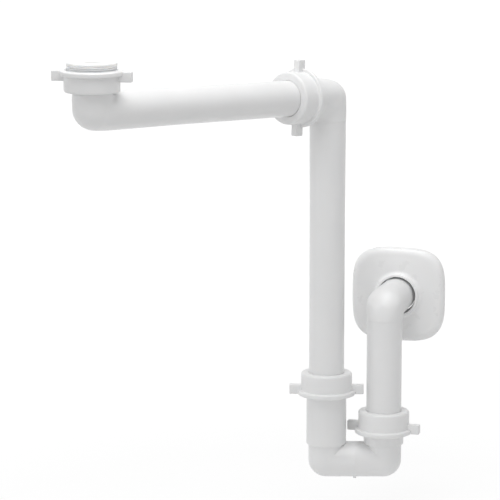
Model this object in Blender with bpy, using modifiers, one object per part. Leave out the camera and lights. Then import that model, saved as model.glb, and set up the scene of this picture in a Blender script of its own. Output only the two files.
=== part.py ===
"""Space saving sink trap: a 32 mm white plastic washbasin trap.

The water falls into a wing-nut inlet, runs along a long sloping arm to the wall, drops
down a long pipe, turns through a low U-shaped trap and leaves through a wall rosette.

Frame: metres, +Z up, +Y into the wall, +X to the right along the wall. The origin is on
the inlet axis, at the top of the seal that meets the basin waste.
"""
import math

import bmesh
import bpy
from mathutils import Matrix, Vector

# Fineness of the round shapes
SEGMENTS = 24                 # flats round a turned piece
ROSETTE_SEGMENTS = 32         # points round the rosette's outline
NOSE_STEPS = 3                # rings on the round corner of an elbow
NOSE_ANGLE = math.radians(60)   # how far the round corner is drawn past the elbow's centre
WELD = 0.00001                # points this close are one point
SNAP = 0.0000001              # a point this close to a cutting plane lies on it

# Clearances
CLEAR = 0.0003                # between pieces that touch
THREAD_CLEAR = 0.0004         # between a male thread and its nut
PIPE_CLEAR = 0.0003           # between a pipe and the socket, ring or seal round it
WING_PASS = 0.0004            # between a turning wing and the other socket

# Pipe
PIPE_R = 0.016                # outside radius of the 32 mm pipe
PIPE_WALL = 0.0020
PIPE_CHAMFER = 0.0010         # lead-in at a plain pipe end
HUB_SWELL = 0.0006            # an elbow's radius beyond the pipe's
ELBOW_MARGIN = 0.0028         # straight length of an elbow past its inner corner
HUB_STEP = 0.0002             # step under the top elbow, where the pipe's taper starts
DRAFT_LENGTH = 0.080          # length over which a moulded pipe tapers to PIPE_R

# Inlet and arm
INLET_DROP = 0.0417           # seal face down to the arm's axis
ARM_REACH = 0.302             # inlet axis to down pipe axis, in plan
ARM_HEADING = math.radians(65.0)   # from +X towards +Y
ARM_FALL = math.radians(3.0)  # slope of the arm towards the wall
ARM_END_GAP = 0.0030          # arm's end to the shoulder in its socket
COLLAR_SEAT = 0.0023          # width of the ring that the inlet nut lifts against
COLLAR_THICK = 0.0032
COLLAR_BELOW = 0.0056         # top of the collar below the seal face

# Inlet seal
SEAL_LIP_CLEAR = 0.0003       # between the lip that meets the basin waste and the nut
SEAL_LIP_EDGE = 0.0007        # straight edge of the lip, above its taper
SEAL_LIP_TAPER = 0.0014
SEAL_LIP_THICK = 0.0034
SEAL_INSET = 0.0003           # seal's body inside the collar's edge
SEAL_GROOVE = 0.0005          # depth of the ring round the seal's side
SEAL_DISH = 0.0010            # bevel round the hole
SEAL_PLUG = 0.0050            # length of the skirt inside the pipe
SEAL_PLUG_CLEAR = 0.0006
SEAL_PLUG_WALL = 0.0010

# Wing nut, from its open end to its closed end
NUT_HEIGHT = 0.0210
INLET_NUT_HEIGHT = 0.0183
NUT_WALL = 0.0020
NUT_HOLE_CLEAR = 0.0005       # between a compression nut's end and the pipe
INLET_NUT_CLEAR = 0.0009      # between the inlet nut's end and the elbow's leg
COLLAR_CLEAR = 0.0015         # between the collar and the nut's bore
NUT_END = 0.0026              # thickness of the closed end
NUT_ROUND = 0.0014            # rounding of the closed end's edge
NUT_ROUND_STEPS = 2
NUT_LEAD = 0.0005             # chamfer at the mouth of the bore
NUT_RIM = 0.0032              # width of the ring face at the open end
FLANGE_WIDTH = 0.0032
FLANGE_LOW = 0.0008           # open end to the flange's lower edge
FLANGE_THICK = 0.0036
WING_LENGTH = 0.0106          # beyond the body
WING_HEIGHT = 0.0088
WING_THICK = 0.0065
WING_ROUND = 0.0009
WING_ROUND_STEPS = 2
INLET_WINGS = math.radians(4.8)     # wing directions, from +X towards +Y
TRAP_INLET_WINGS = math.radians(14.7)
TRAP_OUTLET_WINGS = math.radians(-1.5)

# Compression joint
SOCKET_WALL = 0.0019
SOCKET_LIP = 0.0016           # width of the ring face at the mouth
SEAT_DEPTH = 0.0036           # length of the conical seat inside the mouth
THREAD_LENGTH = 0.0132
THREAD_LEAD = 0.0006          # chamfer at the mouth
SEAL_RING_CLEAR = 0.0011      # between the conical seal and the nut
SEAL_RING_HIGH = 0.0025       # part of the seal that stands above the mouth
SLIP_RING_CLEAR = 0.0007
SLIP_RING_THICK = 0.0012

# Top elbow and down pipe
ARM_SOCKET_PLAIN = 0.0128     # plain length of the arm's socket before its thread
SOCKET_SLOPE = 0.0020         # length of the slope from an elbow to its socket
STOP_SLOPE = 0.0010           # length of the slope at the shoulder that stops the arm
DOWN_DROP = 0.3351            # arm's socket down to the axis of the trap's low run
DOWN_END_GAP = 0.0296         # down pipe's lower end to the trap's shoulder

# Trap bend
TRAP_HEADING = math.radians(16.0)   # from the down pipe to the riser, +X towards +Y
TRAP_WALL = 0.0022
TRAP_STEP_DROP = 0.0013       # step under a socket, below the top of the low run
TRAP_STEP_SLOPE = 0.0006
TRAP_SHOULDER = 0.0004        # rise of each of the two steps that stop a pipe
TALL_SOCKET_PLAIN = 0.0433    # plain length between the step and the thread
SHORT_SOCKET_PLAIN = 0.0075
GATE_R = 0.0015               # moulding nib under the bend
GATE_LENGTH = 0.0018
GATE_SIDES = 10

# Riser, outlet and rosette
RISER_HEIGHT = 0.1441         # low run's axis up to the outlet's axis
RISER_END_GAP = 0.0076        # riser's lower end to the trap's shoulder
OUTLET_SWELL = 0.0003         # the wall elbow's radius beyond the pipe's
OUTLET_DRAFT = 0.030          # length over which the riser and the outlet taper
WALL_DISTANCE = 0.0575        # riser's axis to the wall
OUTLET_INTO_WALL = 0.040      # outlet pipe beyond the wall's face
ROSETTE_HALF = 0.04365        # half the rosette's width
ROSETTE_POWER = 3.8           # squareness of the outline: 2 is round, more is squarer
ROSETTE_WALL = 0.0020
ROSETTE_RIM = 0.0034          # height of the straight rim on the wall
ROSETTE_RIM_ROUND = 0.0075    # width of the rounded rim
ROSETTE_FACE = 0.0094         # height of the face beside its rounded rim
ROSETTE_CROWN = 0.0012        # rise of the face towards its collar
ROSETTE_ROUND_STEPS = 3       # rings on the rounded rim
ROSETTE_MID_SQUARENESS = 0.6  # of the ring half way over the face: 1 at the rim, 0 at the collar
ROSETTE_COLLAR_RISE = 0.0044  # height of the collar on the face
ROSETTE_COLLAR_LIP = 0.0023   # width of the collar's end
ROSETTE_COLLAR_FLARE = 0.0043
ROSETTE_HOLE_CLEAR = 0.0006   # between the hole and the wall elbow
ROSETTE_SLEEVE = 0.0016       # length of the hole's sleeve behind the face

# Colours and gloss
WHITE = (0.87, 0.87, 0.87, 1.0)
SEAL_WHITE = (0.90, 0.90, 0.88, 1.0)
RUBBER_GREY = (0.16, 0.16, 0.17, 1.0)
PLASTIC_ROUGHNESS = 0.32
SEAL_ROUGHNESS = 0.45
RUBBER_ROUGHNESS = 0.7

# Sizes worked out from the sizes above
BORE_R = PIPE_R - PIPE_WALL
HUB_R = PIPE_R + HUB_SWELL
HUB_LENGTH = HUB_R + ELBOW_MARGIN   # elbow's centre to the start of the taper
INLET_NUT_HOLE_R = HUB_R + INLET_NUT_CLEAR
NUT_HOLE_R = PIPE_R + NUT_HOLE_CLEAR
COLLAR_R = INLET_NUT_HOLE_R + COLLAR_SEAT
NUT_BORE_R = COLLAR_R + COLLAR_CLEAR
NUT_R = NUT_BORE_R + NUT_WALL
FLANGE_R = NUT_R + FLANGE_WIDTH
WING_TIP = NUT_R + WING_LENGTH
THREAD_R = NUT_BORE_R - THREAD_CLEAR
SEAT_R = THREAD_R - SOCKET_LIP
SOCKET_BORE_R = PIPE_R + PIPE_CLEAR
SOCKET_R = SOCKET_BORE_R + SOCKET_WALL
THREAD_END = THREAD_R - SOCKET_R + THREAD_LENGTH   # end of the plain socket to its mouth
NUT_ON_SOCKET = NUT_END + CLEAR + SLIP_RING_THICK + CLEAR + SEAL_RING_HIGH
ARM_STOP = HUB_LENGTH + SOCKET_SLOPE   # shoulder that stops the arm's end
ARM_MOUTH = ARM_STOP + ARM_SOCKET_PLAIN + THREAD_END
TRAP_R = BORE_R + TRAP_WALL
TRAP_STEP = TRAP_R - TRAP_STEP_DROP
TRAP_LEG = TRAP_R + TRAP_SHOULDER   # low run's axis up to the end of the bend's own wall
TRAP_STOP = TRAP_LEG + TRAP_SHOULDER
TRAP_SPAN = WING_TIP + WING_PASS + SOCKET_R   # between the axes of the two sockets
TALL_MOUTH = TRAP_STEP + TRAP_STEP_SLOPE + TALL_SOCKET_PLAIN + THREAD_END
SHORT_MOUTH = TRAP_STEP + TRAP_STEP_SLOPE + SHORT_SOCKET_PLAIN + THREAD_END
OUTLET_HUB_R = PIPE_R + OUTLET_SWELL
ROSETTE_HOLE_R = OUTLET_HUB_R + ROSETTE_HOLE_CLEAR
ROSETTE_COLLAR_R = ROSETTE_HOLE_R + ROSETTE_COLLAR_LIP
ROSETTE_FOOT_R = ROSETTE_COLLAR_R + ROSETTE_COLLAR_FLARE
ROSETTE_SAG = ROSETTE_HOLE_CLEAR - CLEAR   # the rosette hangs this much on its pipe

# Places worked out from the sizes above
UP = Vector((0.0, 0.0, 1.0))
WALL_AXIS = Vector((0.0, 1.0, 0.0))
ARM_FLAT = Vector((math.cos(ARM_HEADING), math.sin(ARM_HEADING), 0.0))
ARM_AXIS = ARM_FLAT * math.cos(ARM_FALL) - UP * math.sin(ARM_FALL)
TRAP_AXIS = Vector((math.cos(TRAP_HEADING), math.sin(TRAP_HEADING), 0.0))
ARM_SPAN = ARM_REACH / math.cos(ARM_FALL)
INLET_CORNER = UP * -INLET_DROP
DOWN_CORNER = INLET_CORNER + ARM_AXIS * ARM_SPAN
TRAP_CORNER = DOWN_CORNER - UP * DOWN_DROP
RISER_FOOT = TRAP_CORNER + TRAP_AXIS * TRAP_SPAN
OUTLET_CORNER = RISER_FOOT + UP * RISER_HEIGHT


def clear_scene():
    for obj in list(bpy.data.objects):
        bpy.data.objects.remove(obj, do_unlink=True)


def collection(name):
    group = bpy.data.collections.new(name)
    bpy.context.scene.collection.children.link(group)
    return group


def plastic(name, colour, roughness):
    material = bpy.data.materials.new(name)
    material.use_nodes = True
    shader = material.node_tree.nodes["Principled BSDF"]
    shader.inputs["Base Color"].default_value = colour
    shader.inputs["Roughness"].default_value = roughness
    shader.inputs["Metallic"].default_value = 0.0
    return material


def empty(name, location, rotation=(0.0, 0.0, 0.0)):
    """A frame that pieces are parented to, on the axis of the joint that they share."""
    obj = bpy.data.objects.new(name, None)
    obj.empty_display_type = "ARROWS"
    obj.empty_display_size = PIPE_R
    obj.location = location
    obj.rotation_euler = rotation
    FRAMES.objects.link(obj)
    return obj


def node(name, mesh, colour, roughness, parent=None, location=(0.0, 0.0, 0.0)):
    """One physical piece, with its own material."""
    obj = bpy.data.objects.new(name, mesh)
    mesh.materials.append(plastic(name, colour, roughness))
    PIECES.objects.link(obj)
    obj.parent = parent
    obj.location = location
    return obj


def tool(name, mesh, parent, location=(0.0, 0.0, 0.0)):
    """A shape that is joined to a piece and isn't one by itself."""
    obj = bpy.data.objects.new(name, mesh)
    TOOLS.objects.link(obj)
    obj.parent = parent
    obj.location = location
    obj.hide_render = True
    obj.display_type = "WIRE"
    return obj


def unite(obj, other):
    joint = obj.modifiers.new("join_" + other.name, "BOOLEAN")
    joint.operation = "UNION"
    joint.solver = "EXACT"
    joint.object = other


def finish_mesh(bm, name):
    bmesh.ops.remove_doubles(bm, verts=bm.verts, dist=WELD)
    bmesh.ops.recalc_face_normals(bm, faces=bm.faces)
    mesh = bpy.data.meshes.new(name)
    bm.to_mesh(mesh)
    bm.free()
    mesh.shade_smooth()
    mesh.set_sharp_from_angle(angle=math.radians(30))
    return mesh


# Turned pieces
def section(name, profile):
    """A closed section of (radius, height) points, outer side first, from the top down."""
    mesh = bpy.data.meshes.new(name)
    count = len(profile)
    points = [(radius, 0.0, height) for radius, height in profile]
    mesh.from_pydata(points, [(i, (i + 1) % count) for i in range(count)], [])
    return mesh


def turn(obj):
    """Turn an object's section into a ring."""
    screw = obj.modifiers.new("turn", "SCREW")
    screw.angle = math.tau
    screw.steps = SEGMENTS
    screw.render_steps = SEGMENTS
    screw.use_merge_vertices = True
    screw.merge_threshold = WELD
    screw.use_smooth_shade = True
    return obj


def turned(name, profile, colour, roughness, parent, height=0.0):
    return turn(node(name, section(name, profile), colour, roughness, parent, (0.0, 0.0, height)))


def quarter(radius, height, size, steps):
    """A rounded top edge: from the flat end face down to the side at this radius."""
    turns = [math.pi / 2 * i / steps for i in range(steps + 1)]
    return [(radius - size + size * math.sin(t), height - size + size * math.cos(t)) for t in turns]


def nut_profile(hole_r, height):
    """The nut with its open end at height 0 and its closed end on top."""
    flange_top = FLANGE_LOW + FLANGE_THICK
    inner_end = height - NUT_END
    rim_r = NUT_BORE_R + NUT_LEAD + NUT_RIM
    outside = [(hole_r, height)]
    outside += quarter(NUT_R, height, NUT_ROUND, NUT_ROUND_STEPS)
    outside += [(NUT_R, flange_top), (FLANGE_R, flange_top), (FLANGE_R, FLANGE_LOW), (rim_r, 0.0)]
    inside = [(NUT_BORE_R + NUT_LEAD, 0.0), (NUT_BORE_R, NUT_LEAD)]
    inside += [(NUT_BORE_R, inner_end), (hole_r, inner_end)]
    return outside + inside


def wings_mesh(name):
    """Two rounded tabs, one each side of the nut's axis, rooted inside the body's wall."""
    bm = bmesh.new()
    root = (NUT_BORE_R + NUT_R) / 2
    length = WING_TIP - root
    size = Vector((length, WING_THICK, WING_HEIGHT))
    height = FLANGE_LOW + WING_HEIGHT / 2
    for side in (1, -1):
        centre = Vector((side * (root + length / 2), 0.0, height))
        place = Matrix.Translation(centre) @ Matrix.Diagonal(size).to_4x4()
        bmesh.ops.create_cube(bm, size=1.0, matrix=place)
    bmesh.ops.bevel(bm, geom=bm.edges, offset=WING_ROUND, segments=WING_ROUND_STEPS, profile=0.5,
                    affect="EDGES")
    return finish_mesh(bm, name)


def wing_nut(name, frame, hole_r, height, closed_end):
    """A wing nut of this height whose closed end lies at this height on its frame."""
    open_end = closed_end - height
    obj = turned(name, nut_profile(hole_r, height), WHITE, PLASTIC_ROUGHNESS, frame, open_end)
    unite(obj, tool(name + "_wings", wings_mesh(name + "_wings"), frame, (0.0, 0.0, open_end)))
    return obj


def seal_ring(name, frame, mouth):
    """A conical rubber ring: its cone sits in the seat inside the socket's mouth."""
    inner = PIPE_R + PIPE_CLEAR
    drop = SEAT_DEPTH - 3 * CLEAR
    shoulder = SEAT_R - CLEAR
    foot = inner + CLEAR
    outer = NUT_BORE_R - SEAL_RING_CLEAR
    profile = [(inner, SEAL_RING_HIGH), (outer, SEAL_RING_HIGH), (outer, CLEAR),
               (shoulder, CLEAR), (foot, -drop), (inner, -drop)]
    return turned(name, profile, RUBBER_GREY, RUBBER_ROUGHNESS, frame, mouth)


def slip_ring(name, frame, mouth):
    """A flat plastic washer between the seal and the turning nut."""
    low = SEAL_RING_HIGH + CLEAR
    inner = PIPE_R + PIPE_CLEAR
    high = low + SLIP_RING_THICK
    outer = NUT_BORE_R - SLIP_RING_CLEAR
    profile = [(inner, high), (outer, high), (outer, low), (inner, low)]
    return turned(name, profile, WHITE, PLASTIC_ROUGHNESS, frame, mouth)


def compression_joint(prefix, frame, nut_frame, mouth):
    """Seal, slip ring and nut on a socket whose mouth lies at this height on the frame."""
    seal_ring(prefix + "_seal", frame, mouth)
    slip_ring(prefix + "_slip_ring", frame, mouth)
    wing_nut(prefix + "_nut", nut_frame, NUT_HOLE_R, NUT_HEIGHT, mouth + NUT_ON_SOCKET)


# Moulded pipes with elbows
def nose(radius):
    """The round corner of an elbow: a ball of the pipe's radius about the elbow's centre."""
    turns = [NOSE_ANGLE * (NOSE_STEPS - i) / NOSE_STEPS for i in range(NOSE_STEPS + 1)]
    return [(-radius * math.sin(t), radius * math.cos(t)) for t in turns]


def bore(end, radius=BORE_R):
    """The water way from a leg's end back to its corner."""
    return [(end, radius)] + nose(radius)[::-1]


def tapered(hub_r, draft):
    """The outside of an elbow and of the taper down to the plain pipe."""
    return nose(hub_r) + [(HUB_LENGTH, hub_r), (HUB_LENGTH + draft, PIPE_R)]


def plain_end(length):
    return [(length - PIPE_CHAMFER, PIPE_R), (length, PIPE_R - PIPE_CHAMFER)]


def socket_run(start, mouth, stop):
    """Outside and inside of a socket, by their distances from the elbow's centre."""
    outside = [(start, SOCKET_R), (mouth - THREAD_END, SOCKET_R)]
    outside += [(mouth - THREAD_LENGTH, THREAD_R)]
    outside += [(mouth - THREAD_LEAD, THREAD_R), (mouth, THREAD_R - THREAD_LEAD)]
    inside = [(mouth, SEAT_R), (mouth - SEAT_DEPTH, SOCKET_BORE_R), (stop, SOCKET_BORE_R)]
    return outside + inside


def socket_ring(name, frame, mouth):
    """The wider part of a socket on the trap, joined round the bend's own wall."""
    inside = (BORE_R + TRAP_R) / 2
    run = [(TRAP_STEP, inside), (TRAP_STEP, SOCKET_R - TRAP_STEP_SLOPE)]
    run += socket_run(TRAP_STEP + TRAP_STEP_SLOPE, mouth, TRAP_STOP)
    run += [(TRAP_STOP, inside)]
    profile = [(radius, along) for along, radius in reversed(run)]
    return turn(tool(name, section(name, profile), frame))


def add_leg(body, corner, axis, other, runs):
    """One straight leg of an elbow, turned from its runs and cut at the mitre plane.

    Each run is a list of (distance from the corner, radius). The other leg is cut at the
    same plane, so their edges meet point to point and weld into one wall.
    """
    outer = -(other - axis * other.dot(axis)).normalized()
    side = axis.cross(outer)
    frame = Matrix((outer, side, axis)).transposed()
    leg = bmesh.new()
    for run in runs:
        points = [leg.verts.new(corner + frame @ Vector((radius, 0.0, along))) for along, radius in run]
        edges = [leg.edges.new(pair) for pair in zip(points, points[1:])]
        bmesh.ops.spin(leg, geom=points + edges, cent=corner, axis=axis, dvec=(0.0, 0.0, 0.0),
                       angle=math.tau, steps=SEGMENTS, use_merge=True, use_duplicate=False)
    bmesh.ops.remove_doubles(leg, verts=leg.verts, dist=WELD)
    geometry = leg.verts[:] + leg.edges[:] + leg.faces[:]
    bmesh.ops.bisect_plane(leg, geom=geometry, dist=SNAP, plane_co=corner,
                           plane_no=(axis - other).normalized(), clear_inner=True)
    mesh = bpy.data.meshes.new("leg")
    leg.to_mesh(mesh)
    leg.free()
    body.from_mesh(mesh)
    bpy.data.meshes.remove(mesh)


def inlet_arm():
    """Collar, inlet elbow and the long arm, moulded in one."""
    body = bmesh.new()
    corner = Vector((0.0, 0.0, 0.0))
    top = INLET_DROP - COLLAR_BELOW
    collar = top - COLLAR_THICK
    upper = nose(HUB_R) + [(collar, HUB_R), (collar, COLLAR_R), (top, COLLAR_R)] + bore(top)
    length = ARM_SPAN - ARM_STOP - ARM_END_GAP
    arm = tapered(HUB_R, DRAFT_LENGTH) + plain_end(length) + bore(length)
    add_leg(body, corner, UP, ARM_AXIS, [upper])
    add_leg(body, corner, ARM_AXIS, UP, [arm])
    mesh = finish_mesh(body, "inlet_arm")
    node("inlet_arm", mesh, WHITE, PLASTIC_ROUGHNESS, location=INLET_CORNER)


def down_pipe():
    """Arm socket, top elbow and the long down pipe, moulded in one."""
    body = bmesh.new()
    corner = Vector((0.0, 0.0, 0.0))
    back = -ARM_AXIS
    socket = nose(HUB_R) + [(HUB_LENGTH, HUB_R)] + socket_run(ARM_STOP, ARM_MOUTH, ARM_STOP)
    socket += bore(ARM_STOP - STOP_SLOPE)
    length = DOWN_DROP - TRAP_STOP - DOWN_END_GAP
    pipe = nose(HUB_R) + [(HUB_LENGTH, HUB_R), (HUB_LENGTH + HUB_STEP, HUB_R - HUB_STEP)]
    pipe += [(HUB_LENGTH + DRAFT_LENGTH, PIPE_R)] + plain_end(length) + bore(length)
    add_leg(body, corner, back, -UP, [socket])
    add_leg(body, corner, -UP, back, [pipe])
    mesh = finish_mesh(body, "down_pipe")
    node("down_pipe", mesh, WHITE, PLASTIC_ROUGHNESS, location=DOWN_CORNER)


def trap_bend():
    """Tall socket, low run and short socket, moulded in one U."""
    body = bmesh.new()
    half = TRAP_SPAN / 2
    for corner, along in ((Vector((0.0, 0.0, 0.0)), TRAP_AXIS), (TRAP_AXIS * TRAP_SPAN, -TRAP_AXIS)):
        add_leg(body, corner, UP, along, [nose(TRAP_R) + [(TRAP_LEG, TRAP_R)] + bore(TRAP_LEG)])
        add_leg(body, corner, along, UP, [nose(TRAP_R) + [(half, TRAP_R)], bore(half)])
    mesh = finish_mesh(body, "trap_bend")
    bend = node("trap_bend", mesh, WHITE, PLASTIC_ROUGHNESS, location=TRAP_CORNER)
    unite(bend, socket_ring("tall_socket", down_frame, TALL_MOUTH))
    unite(bend, socket_ring("short_socket", riser_frame, SHORT_MOUTH))
    nib = bmesh.new()
    wall_middle = (TRAP_R + BORE_R) / 2
    length = TRAP_R + GATE_LENGTH - wall_middle
    place = Matrix.Translation(-UP * (wall_middle + length / 2))
    bmesh.ops.create_cone(nib, cap_ends=True, segments=GATE_SIDES, radius1=GATE_R, radius2=GATE_R,
                          depth=length, matrix=place)
    unite(bend, tool("trap_gate", finish_mesh(nib, "trap_gate"), None, (TRAP_CORNER + RISER_FOOT) / 2))


def outlet_pipe():
    """Riser, wall elbow and the pipe into the wall, moulded in one."""
    body = bmesh.new()
    corner = Vector((0.0, 0.0, 0.0))
    riser_length = RISER_HEIGHT - TRAP_STOP - RISER_END_GAP
    wall_length = WALL_DISTANCE + OUTLET_INTO_WALL
    for axis, other, length in ((-UP, WALL_AXIS, riser_length), (WALL_AXIS, -UP, wall_length)):
        leg = tapered(OUTLET_HUB_R, OUTLET_DRAFT) + plain_end(length) + bore(length)
        add_leg(body, corner, axis, other, [leg])
    mesh = finish_mesh(body, "outlet_pipe")
    node("outlet_pipe", mesh, WHITE, PLASTIC_ROUGHNESS, location=OUTLET_CORNER)


def inlet_seal(frame):
    """Flanged soft seal that stands on the collar and plugs into the pipe."""
    foot = -COLLAR_BELOW + CLEAR
    plug_foot = foot - SEAL_PLUG
    lip_foot = -SEAL_LIP_THICK
    lip = NUT_BORE_R - SEAL_LIP_CLEAR
    body = COLLAR_R - SEAL_INSET
    plug = BORE_R - SEAL_PLUG_CLEAR
    hole = plug - SEAL_PLUG_WALL
    outside = [(hole + SEAL_DISH, 0.0), (lip, 0.0), (lip, -SEAL_LIP_EDGE)]
    outside += [(lip - SEAL_LIP_TAPER, lip_foot), (body, lip_foot), (body - SEAL_GROOVE, (lip_foot + foot) / 2), (body, foot)]
    inside = [(plug, foot), (plug, plug_foot), (hole, plug_foot), (hole, -SEAL_DISH)]
    turned("inlet_seal", outside + inside, SEAL_WHITE, SEAL_ROUGHNESS, frame)


# Rosette
def outline_radius(angle, half):
    """Radius of the rounded square with this half width, in this direction."""
    spread = abs(math.cos(angle)) ** ROSETTE_POWER + abs(math.sin(angle)) ** ROSETTE_POWER
    return half * spread ** (-1.0 / ROSETTE_POWER)


def rosette_rings():
    """Rings of the shell as (half width, height, squareness), from the rim to the hole and back."""
    wall = ROSETTE_WALL
    half = ROSETTE_HALF
    rim = ROSETTE_RIM_ROUND
    face = ROSETTE_FACE
    crown = face + ROSETTE_CROWN
    collar = crown + ROSETTE_COLLAR_RISE
    sleeve = crown - wall - ROSETTE_SLEEVE
    foot_r = ROSETTE_FOOT_R
    rings = [(half, 0.0, 1.0), (half, ROSETTE_RIM, 1.0)]
    for step in range(1, ROSETTE_ROUND_STEPS + 1):
        angle = math.pi / 2 * step / ROSETTE_ROUND_STEPS
        inward = rim * (1 - math.cos(angle))
        rise = (face - ROSETTE_RIM) * math.sin(angle)
        rings.append((half - inward, ROSETTE_RIM + rise, 1.0))
    rings += [((half - rim + foot_r) / 2, (face + crown) / 2, ROSETTE_MID_SQUARENESS)]
    rings += [(foot_r, crown, 0.0)]
    rings += [(ROSETTE_COLLAR_R + ROSETTE_COLLAR_FLARE / 4, (crown + collar) / 2, 0.0)]
    rings += [(ROSETTE_COLLAR_R, collar - wall / 4, 0.0), (ROSETTE_COLLAR_R - wall / 4, collar, 0.0)]
    rings += [(ROSETTE_HOLE_R, collar, 0.0), (ROSETTE_HOLE_R, sleeve, 0.0)]
    rings += [(ROSETTE_HOLE_R + wall, sleeve, 0.0), (foot_r - wall / 2, crown - wall, 0.0)]
    rings += [(half - rim, face - wall, 1.0), (half - wall - rim / 4, ROSETTE_RIM + wall / 2, 1.0)]
    rings += [(half - wall, 0.0, 1.0)]
    return rings


def wall_rosette():
    """A domed rounded-square shell that slides on the outlet pipe and hides the wall's hole."""
    body = bmesh.new()
    loops = []
    for half, height, square in rosette_rings():
        loop = []
        for i in range(ROSETTE_SEGMENTS):
            angle = math.tau * i / ROSETTE_SEGMENTS
            radius = half * (1 - square) + outline_radius(angle, half) * square
            loop.append(body.verts.new((radius * math.cos(angle), radius * math.sin(angle), height)))
        loops.append(loop)
    for loop, following in zip(loops, loops[1:] + loops[:1]):
        for i in range(ROSETTE_SEGMENTS):
            j = (i + 1) % ROSETTE_SEGMENTS
            body.faces.new((loop[i], loop[j], following[j], following[i]))
    place = OUTLET_CORNER + WALL_AXIS * WALL_DISTANCE - UP * ROSETTE_SAG
    mesh = finish_mesh(body, "wall_rosette")
    obj = node("wall_rosette", mesh, WHITE, PLASTIC_ROUGHNESS, location=place)
    obj.rotation_euler = (math.pi / 2, 0.0, 0.0)


clear_scene()
PIECES = collection("space_saving_sink_trap")
TOOLS = collection("joined_shapes")
FRAMES = collection("frames")

inlet_frame = empty("inlet_axis", (0.0, 0.0, 0.0))
arm_rotation = (0.0, ARM_FALL - math.pi / 2, ARM_HEADING)
arm_frame = empty("arm_axis", DOWN_CORNER, arm_rotation)
down_frame = empty("down_pipe_axis", TRAP_CORNER)
riser_frame = empty("riser_axis", RISER_FOOT)

inlet_arm()
inlet_seal(inlet_frame)
arm_top = -INLET_DROP + HUB_R / math.cos(ARM_FALL) - INLET_NUT_HOLE_R * math.tan(ARM_FALL)
inlet_nut_frame = empty("inlet_nut_axis", (0.0, 0.0, 0.0), (math.pi, 0.0, INLET_WINGS))
wing_nut("inlet_nut", inlet_nut_frame, INLET_NUT_HOLE_R, INLET_NUT_HEIGHT, -(arm_top + CLEAR))

down_pipe()
compression_joint("arm", arm_frame, arm_frame, ARM_MOUTH)

trap_bend()
trap_inlet_turn = empty("trap_inlet_nut_axis", TRAP_CORNER, (0.0, 0.0, TRAP_INLET_WINGS))
compression_joint("trap_inlet", down_frame, trap_inlet_turn, TALL_MOUTH)
trap_outlet_turn = empty("trap_outlet_nut_axis", RISER_FOOT, (0.0, 0.0, TRAP_OUTLET_WINGS))
compression_joint("trap_outlet", riser_frame, trap_outlet_turn, SHORT_MOUTH)

outlet_pipe()
wall_rosette()
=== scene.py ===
"""Looks of the space saving sink trap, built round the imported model.

Every rigid piece is turned again at a fine resolution from the same sizes, with rounded
edges, threads, mould marks and a worked plastic surface. Metres, +Z up, +Y into the wall.
"""
import math

import bmesh
import bpy
from mathutils import Euler, Matrix, Vector


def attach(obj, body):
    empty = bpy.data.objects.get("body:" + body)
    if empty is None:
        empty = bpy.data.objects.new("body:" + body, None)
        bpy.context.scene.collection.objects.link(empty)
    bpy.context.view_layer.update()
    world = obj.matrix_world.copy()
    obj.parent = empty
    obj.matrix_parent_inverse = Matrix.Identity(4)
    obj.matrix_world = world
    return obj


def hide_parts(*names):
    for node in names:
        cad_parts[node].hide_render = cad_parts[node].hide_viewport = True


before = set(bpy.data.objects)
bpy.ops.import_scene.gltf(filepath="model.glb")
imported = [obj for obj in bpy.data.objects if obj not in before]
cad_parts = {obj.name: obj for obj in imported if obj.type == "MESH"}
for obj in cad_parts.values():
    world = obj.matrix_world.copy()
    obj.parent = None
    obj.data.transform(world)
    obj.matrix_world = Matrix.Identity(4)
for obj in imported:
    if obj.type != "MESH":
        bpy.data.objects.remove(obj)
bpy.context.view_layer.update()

# Fineness
SEGMENTS = 96                 # flats round a turned piece
NOSE_STEPS = 16               # rings on the round corner of an elbow
NOSE_ANGLE = math.radians(60)
EDGE_STEPS = 4                # pieces of a rounded edge
EDGE_SHARE = 0.48             # most of a side that one rounding takes
SHARP = math.radians(32)      # faces that meet at more than this show an edge
WELD = 0.00001                # points nearer than this become one
SNAP = 0.0000001              # values nearer than this are equal
HUB_RING_STEP = 0.0007        # between the rings of a hub, for its fillet to follow

# Roundings of edges, named by their size
HAIR = 0.0001
CRISP = 0.0002
SMALL = 0.0003
EASED = 0.0004
SOFT = 0.0005
BROAD = 0.0006

# Pipes and elbows
CLEAR = 0.0003                # between pieces that touch
PIPE_R = 0.016
PIPE_CHAMFER = 0.0010
BORE_R = 0.014
BORE_CHAMFER = 0.0002
HUB_R = 0.0166
HUB_LENGTH = 0.0194
HUB_STEP = 0.0002
RIDGE = 0.0001                # height and length of the ridge before that step
RIDGE_FOOT = 0.0005           # where the ridge begins to rise
DRAFT_LENGTH = 0.080
DRAFT_ROUND = 0.002
INLET_DROP = 0.0417
ARM_HEADING = math.radians(65.0)
ARM_FALL = math.radians(3.0)
ARM_SPAN = 0.302 / math.cos(ARM_FALL)   # 302 mm in plan
ARM_END = 0.0244              # arm's end from the down pipe's axis
COLLAR_R = 0.0198
COLLAR_THICK = 0.0032
COLLAR_BELOW = 0.0056
TOP_HUB_LENGTH = HUB_LENGTH + 0.0027
DOWN_DROP = 0.3351
DOWN_END = 0.0296             # down pipe's end above the stop of the tall socket
RISER_HEIGHT = 0.1441
RISER_END = 0.0076            # riser's end above the stop of the short socket
OUTLET_HUB_R = 0.0163
OUTLET_HUB_LENGTH = HUB_LENGTH - 0.0060
OUTLET_DRAFT = 0.030
WALL_DISTANCE = 0.0575
OUTLET_INTO_WALL = 0.040

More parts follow.
